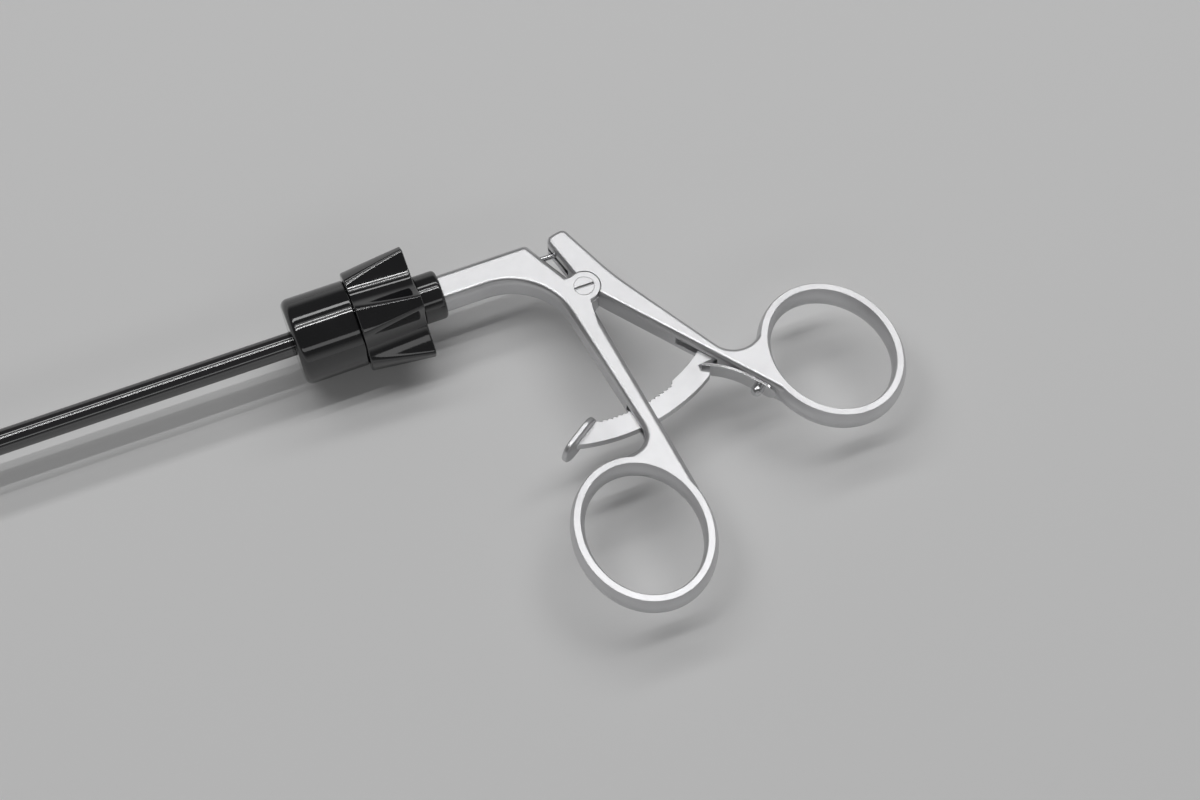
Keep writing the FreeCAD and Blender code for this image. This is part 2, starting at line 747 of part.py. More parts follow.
def make_fixed_handle():
    """Neck, curved arm and boss in one outline, with the bore, box slot and bar window."""
    body = new_body("fixed_frame")
    outline = new_sketch(body, "fixed_outline", "XY_Plane")
    draw_outline(outline, [
        (neck_front, "neck_top"), (neck_front, "neck_bottom"),
        ("bend_corner_x", "neck_bottom"), ("arm_left_x", "arm_left_y"),
        ("shoulder_x", "shoulder_y"), ("shoulder_x", "arm_right_y"),
        ("arm_right_x", "arm_right_y"), ("arm_root_x", "arm_root_y"),
        ("arm_root_x + boss_lean", "pivot_y"), ("face_corner_x + face_flat", "face_corner_y"),
        ("face_corner_x", "face_corner_y"), ("neck_end", "neck_top")])
    pad(body, "fixed_plate", outline, "handle_thickness")
    round_corners(body, "bend", [("bend_corner_x", "neck_bottom")], "bend_radius")
    round_corners(body, "shoulder", [("arm_left_x", "arm_left_y")], "shoulder_radius")
    round_corners(body, "neck_corner", [("neck_end", "neck_top")], "corner_radius")

    def plain(centre):
        at_front = centre.x < size(neck_front) + 0.1
        low = centre.y < size("arm_right_y") + 5 and centre.x < size("arm_right_x") - 3
        at_boss = abs(centre.x - size("pivot_x")) < 2.5 and centre.y > size("arm_root_y") - 1
        return at_front or low or (at_boss and centre.y < size("face_corner_y") + 0.5)

    round_rim(body, "fixed_edges", size("handle_thickness") / 2, "handle_edge", plain)
    disc = new_sketch(body, "boss_disc", "XY_Plane")
    draw_circle(disc, "pivot_x", "pivot_y", "boss_radius")
    pad(body, "boss", disc, "handle_thickness")
    nose = new_sketch(body, "nose_profile", "XY_Plane")
    draw_outline(nose, [(nose_front, "0"), (f"{neck_front} + 1", "0"),
                        (f"{neck_front} + 1", "neck_top - nose_shoulder"),
                        (neck_front, "neck_top - nose_shoulder"), (neck_front, "nose_radius"),
                        (nose_front, "nose_radius")])
    turn = body.newObject("PartDesign::Revolution", "nose")
    turn.Profile = nose
    turn.ReferenceAxis = (origin_feature(body, "X_Axis"), [""])
    turn.Angle = 360
    bore = new_sketch(body, "bore_profile", "XY_Plane")
    wide, narrow = "(spigot_radius + spigot_gap)", "(rod_radius + 4*seat_gap)"
    step = f"({spigot_end} + bore_run)"
    draw_outline(bore, [(f"{nose_front} - 1", "0"), ("face_corner_x - face_recess", "0"),
                        ("face_corner_x - face_recess", narrow), (step, narrow), (step, wide),
                        (f"{nose_front} - 1", wide)])
    groove = body.newObject("PartDesign::Groove", "neck_bore")
    groove.Profile = bore
    groove.ReferenceAxis = (origin_feature(body, "X_Axis"), [""])
    groove.Angle = 360
    slot = new_sketch(body, "box_slot", "XY_Plane")
    draw_circle(slot, "pivot_x", "pivot_y", boss_clear)
    pocket(body, "box_slot_cut", slot, "handle_thickness - 2*cheek")
    window = new_sketch(body, "bar_window", "XY_Plane")
    draw_outline(window, [("arm_left_x - 9", pawl_y), ("arm_left_x - 9", window_low),
                          ("arm_right_x + 4", window_low), ("arm_right_x + 4", pawl_y)])
    pocket(body, "bar_window_cut", window, f"2*{window_half}")
    hole = new_sketch(body, "screw_hole", "XY_Plane")
    draw_circle(hole, "pivot_x", "pivot_y", "screw_radius")
    pocket(body, "screw_hole_cut", hole, "2*handle_thickness")
    return body


fixed_arm = cut("fixed_arm", make_fixed_handle(), ring_opening("finger_ring"))
head_seat = cylinder("screw_seat", "pivot_x", "pivot_y", "handle_thickness/2 - screw_head",
                     "screw_head_radius", "screw_head + 1")
fixed_whole = fuse("fixed_whole", fixed_arm, make_ring("finger_ring"))
keep(cut("fixed_forging", fixed_whole, head_seat), "fixed_handle")


# Pivot screw, flush with the boss.
def make_screw():
    shank = cylinder("screw_shank", "pivot_x", "pivot_y", "-handle_thickness/2",
                     "screw_radius", "handle_thickness")
    head = cylinder("screw_cap", "pivot_x", "pivot_y", "handle_thickness/2 - screw_head",
                    "screw_head_radius", "screw_head")
    slot = block("screw_groove", "pivot_x - screw_head_radius - 1", "pivot_y - screw_slot/2",
                 "handle_thickness/2 - screw_slot", "2*screw_head_radius + 2", "screw_slot",
                 "1")
    return cut("screw", fuse("screw_blank", shank, head), slot)


keep(make_screw(), "pivot_screw")


# Thumb handle, with a round web between the cheeks of the boss. The arm's heel and
# shoulder lie on the thumb ring.
web_half = "(handle_thickness/2 - cheek - web_gap)"
thumb_heel = ("(thumb_ring_x + heel_across)", "(thumb_ring_y + heel_up)")
thumb_shoulder = ("(thumb_ring_x + thumb_shoulder_across)", "(thumb_ring_y + thumb_shoulder_up)")


def make_thumb_handle():
    body = new_body("thumb_frame")
    outline = new_sketch(body, "thumb_outline", "XY_Plane")
    draw_outline(outline, [
        ("lever_tip_x", "lever_tip_y"), ("lever_foot_x", "lever_foot_y"),
        ("thumb_front_x", "thumb_front_y"), thumb_heel,
        (f"{thumb_shoulder[0]} + root_across", f"{thumb_heel[1]} + root_up"), thumb_shoulder,
        ("saddle_x", "saddle_y"), ("thumb_back_x", "thumb_back_y"), ("lever_back_x", "lever_back_y")])
    pad(body, "thumb_plate", outline, "handle_thickness")
    round_corners(body, "saddle", [("saddle_x", "saddle_y")], "saddle_radius")
    round_corners(body, "lever_corners", [("lever_tip_x", "lever_tip_y"),
                                          ("lever_back_x", "lever_back_y")], "corner_radius")
    round_corners(body, "thumb_back", [("thumb_back_x", "thumb_back_y")], "back_radius")

    def plain(centre):
        ring = Vector(size("thumb_ring_x"), size("thumb_ring_y"), centre.z)
        return centre.distanceToPoint(ring) < 9.5

    round_rim(body, "thumb_edges", size("handle_thickness") / 2, "thumb_edge", plain)
    for name, lift in (("relief_top", 1), ("relief_under", -1)):
        sketch = new_sketch(body, name, "XY_Plane", f"{lift}*(handle_thickness/2 + 1)")
        draw_circle(sketch, "pivot_x", "pivot_y", "boss_radius + boss_relief")
        relief = body.newObject("PartDesign::Pocket", name + "_cut")
        relief.Profile = sketch
        relief.Reversed = lift < 0
        relief.setExpression("Length", bound("cheek + web_gap + 1"))
    disc = new_sketch(body, "web_disc", "XY_Plane")
    draw_circle(disc, "pivot_x", "pivot_y", "boss_radius + boss_relief")
    pad(body, "web", disc, f"2*{web_half}")
    hole = new_sketch(body, "web_hole", "XY_Plane")
    draw_circle(hole, "pivot_x", "pivot_y", "screw_radius + screw_gap")
    pocket(body, "web_hole_cut", hole, "2*handle_thickness")
    return body


def make_ball_socket():
    """Keyway for the ball: a bore along the lever, domed at the top, with a neck slot."""
    radius = "(ball_radius + ball_gap)"
    low = "socket_floor_y"
    bore = cylinder("ball_bore", ball_x, low, "0", radius, f"ball_climb - {low}",
                    Vector(0, 1, 0))
    dome = doc.addObject("Part::Sphere", "ball_dome")
    dome.setExpression("Radius", bound(radius))
    dome.setExpression("Placement.Base.x", bound(ball_x))
    dome.setExpression("Placement.Base.y", bound("ball_climb"))
    slot = block("neck_slot", "lever_tip_x - 2", low, "-slot_width/2",
                 f"{ball_x} - lever_tip_x + 2", f"slot_width/2 + ball_climb + neck_swing - {low}",
                 "slot_width")
    return fuse("ball_socket", bore, dome, slot)


# The thumb arm's lower edge runs from its front corner to its heel. The leaf spring lies
# along it, and places are given as a run along the edge and a depth into the arm.
front = Vector(size("thumb_front_x"), size("thumb_front_y"), 0)
heel = Vector(size(thumb_heel[0]), size(thumb_heel[1]), 0)
along = (heel - front).normalize()
inward = Vector(-along.y, along.x, 0)


def on_edge(run, depth):
    return front + along * run + inward * depth


def make_bar_pocket():
    """Room in the thumb arm for the root of the bar and its swing."""
    pin = Vector(size("bar_pin_x"), size("bar_pin_y"), 0)
    half = size(window_half)
    room = Part.makeCylinder(size("bar_eye_radius + bar_gap"), 2 * half,
                             pin - Vector(0, 0, half))
    depth = inward.dot(pin - front) + size("bar_eye_radius + bar_gap")
    run = along.dot(pin - front)
    ahead, mouth, back = (size("bar_room_" + word) for word in ("front", "mouth", "back"))
    corners = [on_edge(run, depth), on_edge(run - ahead, depth / 3), on_edge(run - mouth, -2),
               on_edge(run + back, -2), on_edge(run + back * 0.4, depth / 3),
               on_edge(run, depth)]
    wedge = Part.Face(Part.makePolygon(corners)).extrude(Vector(0, 0, 2 * half))
    wedge.translate(Vector(0, 0, -half))
    feature = doc.addObject("Part::Feature", "bar_pocket")
    feature.Shape = room.fuse(wedge)
    return feature


pin_hole = cylinder("ratchet_hole", "bar_pin_x", "bar_pin_y", "-handle_thickness",
                    "bar_pin_radius", "1.5*handle_thickness - bar_pin_cover")
screw_run = size("leaf_screw_run")
leaf_hole = doc.addObject("Part::Feature", "leaf_hole")
leaf_hole.Shape = Part.makeCylinder(size("leaf_screw_radius"), size("leaf_screw_depth") + 2,
                                    on_edge(screw_run, -2), inward)
thumb_tools = fuse("thumb_tools", make_ball_socket(), make_bar_pocket(), pin_hole, leaf_hole,
                   ring_opening("thumb_ring"))
thumb_arm = cut("thumb_arm", make_thumb_handle(), thumb_tools)
keep(fuse("thumb_forging", thumb_arm, make_ring("thumb_ring")), "thumb_handle")


# Ratchet bar: an arc with teeth on its inner edge, hinged by its root in the thumb arm.
def bar_place(radius, angle):
    return (f"bar_centre_x + ({radius})*cos({angle})", f"bar_centre_y + ({radius})*sin({angle})")


def make_bar():
    body = new_body("bar")
    profile = new_sketch(body, "bar_outline", "XY_Plane")
    smooth = "(bar_inner - bar_step)"
    draw_outline(profile, [
        bar_place("bar_inner", "bar_tip_angle") + ("bar_inner",),
        bar_place("bar_inner", "bar_teeth_end"),
        bar_place(smooth, "bar_teeth_end + 0.6") + (smooth,),
        bar_place(smooth, "bar_root_angle"),
        ("bar_pin_x", "bar_pin_y + bar_eye_radius", "-bar_eye_radius"),
        ("bar_pin_x", "bar_pin_y - bar_eye_radius"),
        ("notch_x", "notch_y"), ("notch_x", "notch_y - notch_width"),
        bar_place(f"{bar_outer} - heel_chamfer", "bar_heel_angle + heel_lead"),
        bar_place(bar_outer, "bar_heel_angle") + (f"-{bar_outer}",),
        bar_place(bar_outer, "bar_outer_tip_angle")])
    pad(body, "bar_plate", profile, "2*bar_half")
    tooth = new_sketch(body, "tooth_gap", "XY_Plane")
    start = "(bar_teeth_end - tooth_start)"
    pitch = "(tooth_pitch/bar_inner*180/pi)"
    crest = "(bar_inner - crest_rise)"
    draw_outline(tooth, [
        bar_place(crest, f"{start} + pitch_lean"),
        bar_place("bar_inner + tooth_depth", f"{start}"),
        bar_place(crest, f"{start} - {pitch}")])
    gap = pocket(body, "tooth_cut", tooth, "4*bar_half")
    centre = new_sketch(body, "bar_axis", "XY_Plane")
    centre.setExpression("AttachmentOffset.Base.x", bound("bar_centre_x"))
    centre.setExpression("AttachmentOffset.Base.y", bound("bar_centre_y"))
    teeth = body.newObject("PartDesign::PolarPattern", "teeth")
    teeth.Originals = [gap]
    teeth.Axis = (centre, ["N_Axis"])
    teeth.Reversed = True
    count = int(size(f"({start} - bar_tip_angle)/{pitch}"))
    teeth.Angle = size(pitch) * (count - 1)
    teeth.Occurrences = count
    body.Tip = teeth
    hole = new_sketch(body, "bar_eye", "XY_Plane")
    draw_circle(hole, "bar_pin_x", "bar_pin_y", "bar_pin_radius + pin_gap")
    pocket(body, "bar_eye_cut", hole, "4*bar_half")
    return body


keep(make_bar(), "ratchet_bar")
keep(cylinder("ratchet_axle", "bar_pin_x", "bar_pin_y", "-handle_thickness/2",
              "bar_pin_radius", "handle_thickness - bar_pin_cover"), "ratchet_pin")


def make_tab():
    """Oval plate across the end of the bar, which a finger presses to let the bar go."""
    body = new_body("tab")
    sketch = new_sketch(body, "tab_outline", "XY_Plane")
    half, side = "(tab_length/2 - tab_width/2)", "tab_width/2"
    draw_outline(sketch, [(f"-{half}", side, side), (f"-{half}", f"-{side}"),
                          (half, f"-{side}", side), (half, side)])
    pad(body, "tab_plate", sketch, "tab_thickness")
    round_rim(body, "tab_edges", size("tab_thickness") / 2, "tab_edge")
    return body


tab = make_tab()
tip = Vector(*(size(place) for place in bar_place("bar_inner", "bar_tip_angle")), 0)
foot = Vector(*(size(place) for place in bar_place(bar_outer, "bar_outer_tip_angle")), 0)
slant = (tip - foot).normalize()
outward = Vector(-slant.y, slant.x, 0)
tab_centre = tip + slant * size("tab_lead - tab_length/2") + outward * size("tab_thickness/2")
tab.Placement = Placement(tab_centre, Rotation(slant, Vector(0, 0, -1), outward, "XYZ"))
keep(tab, "release_tab")


# Leaf spring on the thumb arm's lower edge, with its tip in the notch of the bar.
def make_leaf():
    """Strip that lies on the arm and then bends away on one arc to the bar's notch."""
    thick = size("leaf_thickness")
    lift = on_edge(size("leaf_lift_run"), 0)
    tip = Vector(size("notch_x + leaf_tip_gap"), size("notch_y - leaf_tip_drop"), 0)
    way = tip - lift
    radius = -way.dot(way) / (2 * way.dot(inward))
    centre = lift - inward * radius
    halfway = ((lift - centre) + (tip - centre)).normalize()
    rays = [(lift - centre).normalize(), halfway, (tip - centre).normalize()]
    upper = [centre + ray * radius for ray in rays]
    under = [centre + ray * (radius - thick) for ray in rays]
    end, corner = on_edge(size("leaf_end_run"), 0), on_edge(size("leaf_end_run"), -thick)
    edges = [Part.LineSegment(end, upper[0]), Part.Arc(*upper),
             Part.LineSegment(upper[2], under[2]), Part.Arc(*reversed(under)),
             Part.LineSegment(under[0], corner), Part.LineSegment(corner, end)]
    face = Part.Face(Part.Wire([edge.toShape() for edge in edges]))
    strip = face.extrude(Vector(0, 0, size("leaf_width")))
    strip.translate(Vector(0, 0, -size("leaf_width") / 2))
    corners = [edge for edge in strip.Edges
               if (edge.CenterOfMass - end).dot(along) > -0.01 and abs(edge.CenterOfMass.z) > 1]
    strip = strip.makeFillet(size("leaf_end_radius"), corners)
    hole = Part.makeCylinder(size("leaf_screw_radius"), 4, on_edge(screw_run, -2), inward)
    return strip.cut(hole)


leaf = doc.addObject("Part::Feature", "leaf")
leaf.Shape = make_leaf()
keep(leaf, "leaf_spring")


def make_leaf_screw():
    """Round-headed screw whose head bears on the leaf."""
    seat = on_edge(screw_run, -size("leaf_thickness"))
    shank = Part.makeCylinder(size("leaf_screw_radius"),
                              size("leaf_screw_depth + leaf_thickness") - 0.2, seat, inward)
    radius, rise = size("leaf_screw_head"), size("leaf_screw_rise")
    brow = seat - inward * rise
    room = Part.makeCylinder(2 * radius, 2 * radius, brow, inward * -1)
    dome = Part.makeSphere(radius, brow).common(room)
    collar = Part.makeCylinder(radius, rise, seat, inward * -1)
    return dome.fuse([collar, shank]).removeSplitter()


leaf_screw = doc.addObject("Part::Feature", "leaf_screw")
leaf_screw.Shape = make_leaf_screw()
keep(leaf_screw, "spring_screw")


doc.recompute()
for item in doc.Objects:
    if "Invalid" in item.State or "Error" in item.State:
        raise RuntimeError(f"{item.Name} failed: {item.State}")
for node, feature in parts.items():
    shape = feature.Shape
    if shape.isNull() or not shape.isValid():
        raise RuntimeError(f"{node} has no valid shape")
    shape.exportStep(f"parts/{node}.step")
    print(node, len(shape.Solids), round(shape.Volume, 3))
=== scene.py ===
import math
import bmesh
import bpy
import numpy as np
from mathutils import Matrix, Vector


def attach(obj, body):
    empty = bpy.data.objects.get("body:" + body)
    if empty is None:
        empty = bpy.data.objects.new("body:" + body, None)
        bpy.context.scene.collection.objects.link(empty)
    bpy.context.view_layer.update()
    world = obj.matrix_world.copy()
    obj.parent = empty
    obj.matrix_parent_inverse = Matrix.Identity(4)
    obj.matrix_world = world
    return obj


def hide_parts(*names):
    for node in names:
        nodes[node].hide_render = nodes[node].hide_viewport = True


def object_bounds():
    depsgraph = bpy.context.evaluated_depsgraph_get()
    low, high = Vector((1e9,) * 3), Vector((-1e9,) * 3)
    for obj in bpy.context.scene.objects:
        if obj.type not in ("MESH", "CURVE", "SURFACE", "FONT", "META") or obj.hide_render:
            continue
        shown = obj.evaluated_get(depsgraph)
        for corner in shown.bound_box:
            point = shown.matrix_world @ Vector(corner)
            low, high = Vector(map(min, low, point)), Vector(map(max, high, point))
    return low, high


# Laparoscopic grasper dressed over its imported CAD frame. The lengths of the camera and the
# pieces are millimetres in the frame's own axes; lamps, floor and meshes are in metres.

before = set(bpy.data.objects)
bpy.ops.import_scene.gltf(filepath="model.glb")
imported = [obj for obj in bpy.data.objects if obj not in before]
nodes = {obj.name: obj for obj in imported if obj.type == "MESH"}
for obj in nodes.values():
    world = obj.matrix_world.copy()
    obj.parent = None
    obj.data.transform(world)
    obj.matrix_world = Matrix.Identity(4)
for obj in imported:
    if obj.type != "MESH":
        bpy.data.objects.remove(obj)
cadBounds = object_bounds()
mm = 0.001
print("frame loaded:", len(nodes), "nodes")

# The camera stands where the photograph was taken from: 64 degrees up, 21 degrees round.
camera = {"place": (-16.57, -213.62, 394.46), "target": (53.194, -34.325, 0.0), "lens": 66.0,
          "sensor": 36.0, "nearest": 10.0}
cameraData = bpy.data.cameras.new("photoCamera")
cameraData.lens = camera["lens"]
cameraData.sensor_width = camera["sensor"]
cameraData.clip_start = camera["nearest"] * mm
cameraObject = bpy.data.objects.new("photoCamera", cameraData)
cameraObject.location = Vector(camera["place"]) * mm
lookAt = Vector(camera["target"]) * mm - cameraObject.location
cameraObject.rotation_euler = lookAt.to_track_quat("-Z", "Y").to_euler()
bpy.context.scene.collection.objects.link(cameraObject)
bpy.context.scene.camera = cameraObject
bpy.context.scene.view_settings.view_transform = "Standard"

# Two thin strips overhead give the doubled streak on the knob and the sleeve, inside the dim
# glow of the broad one. The strip called top stands where the flat faces of the handles
# mirror it to the camera, and the front one lights the lower flute of the wheel.
lamps = {
    "broad": {"place": (0.18, 0.17, 1.03), "size": (0.26, 1.6), "radiance": 0.80},
    "upper": {"place": (0.18, 0.20, 1.00), "size": (0.014, 1.6), "radiance": 18.0},
    "lower": {"place": (0.18, 0.06, 1.01), "size": (0.018, 1.6), "radiance": 23.0},
    "top": {"place": (0.18, 0.53, 0.91), "size": (0.12, 1.6), "radiance": 3.6},
    "front": {"place": (-0.10, -0.84, 0.60), "size": (0.16, 1.3), "radiance": 0.9},
}


# A rectangular lamp with its long side along X, aimed at the X axis. Its power is its
# radiance times pi times its area.
def addSoftbox(name, look):
    lamp = bpy.data.lights.new(name, "AREA")
    lamp.shape = "RECTANGLE"
    lamp.size, lamp.size_y = look["size"]
    lamp.energy = look["radiance"] * math.pi * look["size"][0] * look["size"][1]
    lampObject = bpy.data.objects.new(name, lamp)
    lampObject.location = look["place"]
    aim = Vector((0.0, -look["place"][1], -look["place"][2]))
    lampObject.rotation_euler = aim.to_track_quat("-Z", "X").to_euler()
    bpy.context.scene.collection.objects.link(lampObject)


for lampName, lampLook in lamps.items():
    addSoftbox(lampName + "Softbox", lampLook)


# A node with its sockets and settings given by name.
def addNode(tree, kind, **settings):
    node = tree.nodes.new(kind)
    for key, value in settings.items():
        if key in node.inputs:
            node.inputs[key].default_value = value
        else:
            setattr(node, key, value)
    return node


# A node that maps one range of values onto another.
def addRange(tree, source, target=(0.0, 1.0), curve="LINEAR"):
    node = addNode(tree, "ShaderNodeMapRange", interpolation_type=curve)
    for side, ends in (("From", source), ("To", target)):
        for end, value in zip((" Min", " Max"), ends):
            node.inputs[side + end].default_value = value
    return node


sky = {"colour": (1.0, 1.0, 1.0), "horizon": 0.54, "overhead": 0.10, "band": (0.06, 0.40)}


# The sky is a pale band at the horizon, as a studio sweep gives, that darkens upwards. Its
# strength follows the height of the direction looked in, eased across the band's edge.
def makeWorld():
    world = bpy.data.worlds.new("studio")
    world.use_nodes = True
    bpy.context.scene.world = world
    tree = world.node_tree
    place = tree.nodes.new("ShaderNodeTexCoord")
    split = tree.nodes.new("ShaderNodeSeparateXYZ")
    ramp = addRange(tree, sky["band"], (sky["horizon"], sky["overhead"]), "SMOOTHSTEP")
    tree.links.new(place.outputs["Generated"], split.inputs["Vector"])
    tree.links.new(split.outputs["Z"], ramp.inputs["Value"])
    tree.links.new(ramp.outputs["Result"], tree.nodes["Background"].inputs["Strength"])
    tree.nodes["Background"].inputs["Color"].default_value = (*sky["colour"], 1.0)


makeWorld()
print("camera and lamps placed")


# Mesh of a (rows, columns, 3) array of points that closes both ways: rows run along the
# piece's section, columns around its axis, and each four neighbouring points are one face.
def gridPiece(name, grid):
    rows, columns = grid.shape[:2]
    row, column = np.meshgrid(np.arange(rows), np.arange(columns), indexing="ij")
    nextRow, nextColumn = (row + 1) % rows, (column + 1) % columns
    faces = np.stack([row * columns + column, row * columns + nextColumn,
                      nextRow * columns + nextColumn, nextRow * columns + column], axis=-1)
    mesh = bpy.data.meshes.new(name)
    mesh.from_pydata(grid.reshape(-1, 3) * mm, [], faces.reshape(-1, 4))
    piece = bpy.data.objects.new(name, mesh)
    bpy.context.scene.collection.objects.link(piece)
    return closeSeams(piece)


# Merges the doubles at poles and seams, then turns every face outwards.
def closeSeams(piece, distance=0.002):
    work = bmesh.new()
    work.from_mesh(piece.data)
    bmesh.ops.remove_doubles(work, verts=work.verts, dist=distance * mm)
    bmesh.ops.recalc_face_normals(work, faces=work.faces)
    work.to_mesh(piece.data)
    work.free()
    piece.data.shade_smooth()
    return piece


# Closed path through (across, up, radius) corners. At each corner an arc, tangent to both
# sides, is spun about its centre from one tangent point to the other: at each share of the
# sweep, the two spokes are weighted by the sines of what is left and what is done.
def roundedPath(corners, steps=8):
    corner = np.array([item[:2] for item in corners], float)
    radius = np.array([item[2] for item in corners], float)
    before = np.roll(corner, 1, axis=0) - corner
    after = np.roll(corner, -1, axis=0) - corner
    before /= np.linalg.norm(before, axis=1, keepdims=True)
    after /= np.linalg.norm(after, axis=1, keepdims=True)
    half = np.arccos(np.clip((before * after).sum(1), -1, 1)) / 2
    back = (radius / np.tan(half))[:, None]
    middle = before + after
    middle /= np.linalg.norm(middle, axis=1, keepdims=True)
    centre = corner + middle * (radius / np.sin(half))[:, None]
    start = (corner + before * back - centre)[:, None, :]
    end = (corner + after * back - centre)[:, None, :]
    share = np.linspace(0, 1, steps)[None, :, None]
    sweep = (math.pi - 2 * half)[:, None, None]
    arc = (np.sin((1 - share) * sweep) * start + np.sin(share * sweep) * end) / np.sin(sweep)
    return (centre[:, None, :] + arc).reshape(-1, 2)


# The closed path with points added along it, so that no side is longer than the gap.
def spreadPath(path, gap):
    following = np.roll(path, -1, axis=0)
    count = np.ceil(np.linalg.norm(following - path, axis=1) / gap).astype(int)
    count = np.maximum(count, 1)
    index = np.repeat(np.arange(len(path)), count)
    step = np.arange(count.sum()) - np.repeat(np.cumsum(count) - count, count)
    share = (step / count[index])[:, None]
    return path[index] * (1 - share) + following[index] * share


# Surface of revolution about X: the path's first value is the place along X, counted from
# the knob's front face, the second is the radius, and the angle starts at +Z and turns
# towards +Y.
def turnedPiece(name, look, corners):
    path = spreadPath(roundedPath(corners), look["gap"])
    angle = np.linspace(0, 2 * math.pi, look["around"], endpoint=False)
    along, radius = path[:, 0][:, None], path[:, 1][:, None]
    grid = np.stack([along + 0 * angle, radius * np.sin(angle), radius * np.cos(angle)], axis=-1)
    return gridPiece(name, grid)


cup = {"radius": 9.0, "length": 13.25, "bore": 2.56, "room": 7.36, "wall": 1.6,
       "boreRound": 0.25, "frontRound": 1.5, "rearRound": 0.4, "mouthRound": 0.1,
       "floorRound": 0.3, "innerRound": 0.2, "around": 160, "gap": 1.0}


# A front wall with the tube's bore, and a side wall round a room that is open to the rear.
def makeCup():
    return turnedPiece("knobCup", cup, [
        (0.0, cup["bore"], cup["boreRound"]), (0.0, cup["radius"], cup["frontRound"]),
        (cup["length"], cup["radius"], cup["rearRound"]),
        (cup["length"], cup["room"], cup["mouthRound"]),
        (cup["wall"], cup["room"], cup["floorRound"]),
        (cup["wall"], cup["bore"], cup["innerRound"])])


wheel = {"front": 13.3, "rear": 26.5, "frontRadius": 10.4, "rearRadius": 12.1, "bore": 4.66,
         "frontFloor": 8.85, "rearFloor": 7.9, "valley": 2.3, "slope": 0.7, "flutes": 5,
         "phase": 6.6, "crestRound": 0.8, "edge": 0.4, "edgeSteps": 7, "faceSteps": 7,
         "rows": 26, "columns": 128, "crowding": 0.17}


# Outer radius of the wheel: the lesser of its cone and of the nearest flute's hollow, which
# deepens to the rear. Across a flute the height is floor + sqrt(valley^2 + (slope * offset)^2)
# - valley, and the radius is the positive root of that along each angle. A quadratic softens
# the crossing with the cone.
def wheelRadius(along, angle):
    share = (along - wheel["front"]) / (wheel["rear"] - wheel["front"])
    cone = wheel["frontRadius"] + (wheel["rearRadius"] - wheel["frontRadius"]) * share
    sunk = wheel["frontFloor"] + (wheel["rearFloor"] - wheel["frontFloor"]) * share
    pitch = 2 * math.pi / wheel["flutes"]
    off = (angle - math.radians(wheel["phase"]) + pitch / 2) % pitch - pitch / 2
    sunk = sunk - wheel["valley"]
    lead = np.cos(off) ** 2 - (wheel["slope"] * np.sin(off)) ** 2
    middle = sunk * np.cos(off)
    hollow = (middle + np.sqrt(middle ** 2 - lead * (sunk ** 2 - wheel["valley"] ** 2))) / lead
    gap = np.clip((hollow - cone) / wheel["crestRound"], -1, 1)
    return np.minimum(cone, hollow) - wheel["crestRound"] * (1 - np.abs(gap)) ** 2 / 4


# The wheel's grid runs from the bore up the front face, along the outside and down the rear
# face; a quarter circle rounds both ends, and the columns crowd towards the wings' crests.
def makeWheel():
    front, rear, edge = wheel["front"], wheel["rear"], wheel["edge"]
    turn = np.linspace(0, math.pi / 2, wheel["edgeSteps"])
    run = np.linspace(front + edge, rear - edge, wheel["rows"])[1:-1]
    rise = edge * (1 - np.cos(turn))
    drop = edge * (1 - np.sin(turn))
    along = np.concatenate([front + rise, run, rear - rise[::-1]])
    less = np.concatenate([drop, 0 * run, drop[::-1]])
    pitch = 2 * math.pi / wheel["flutes"]
    share = np.linspace(-1, 1, wheel["columns"], endpoint=False)
    fan = (share + wheel["crowding"] * np.sin(share * math.pi)) * pitch / 2
    angle = (np.arange(wheel["flutes"])[:, None] * pitch + fan).ravel()
    angle = angle + math.radians(wheel["phase"])
    x = along[:, None] + 0 * angle
    radius = wheelRadius(x, angle) - less[:, None]
    inner = np.linspace(0, 1, wheel["faceSteps"])[:, None]
    frontFace = wheel["bore"] + (radius[0] - wheel["bore"]) * inner
    rearFace = wheel["bore"] + (radius[-1] - wheel["bore"]) * inner[::-1]
    radius = np.concatenate([frontFace[:-1], radius, rearFace[1:]])
    x = np.concatenate([np.full_like(frontFace[:-1], front), x,
                        np.full_like(rearFace[1:], rear)])
    grid = np.stack([x, radius * np.sin(angle), radius * np.cos(angle)], axis=-1)
    return gridPiece("knobWheel", grid)


collar = {"front": 26.7, "rear": 31.7, "radius": 5.1, "bore": 2.4, "room": 4.05, "lip": 0.6,
          "boreRound": 0.1, "frontRound": 0.45, "rearRound": 0.8, "mouthRound": 0.1,
          "floorRound": 0.05, "innerRound": 0.1, "around": 128, "gap": 0.6}


# A thin front lip round the rod, and a side wall over the fixed handle's nose.
def makeCollar():
    inside = collar["front"] + collar["lip"]
    return turnedPiece("rearCollar", collar, [
        (collar["front"], collar["bore"], collar["boreRound"]),
        (collar["front"], collar["radius"], collar["frontRound"]),
        (collar["rear"], collar["radius"], collar["rearRound"]),
        (collar["rear"], collar["room"], collar["mouthRound"]),
        (inside, collar["room"], collar["floorRound"]),
        (inside, collar["bore"], collar["innerRound"])])


sleeve = {"tip": -301.5, "end": 2.4, "radius": 2.5, "neck": 2.25, "bore": 2.02,
          "tipRound": 0.22, "stepRound": 0.03, "neckRound": 0.02, "endRound": 0.05,
          "around": 72, "gap": 3.0}


# A tube that steps down to its neck where it enters the cup.
def makeSleeve():
    return turnedPiece("insulationSleeve", sleeve, [
        (sleeve["tip"], sleeve["bore"], sleeve["endRound"]),
        (sleeve["tip"], sleeve["radius"], sleeve["tipRound"]),
        (0.0, sleeve["radius"], sleeve["stepRound"]),
        (0.0, sleeve["neck"], sleeve["neckRound"]),
        (sleeve["end"], sleeve["neck"], sleeve["endRound"]),
        (sleeve["end"], sleeve["bore"], sleeve["endRound"])])


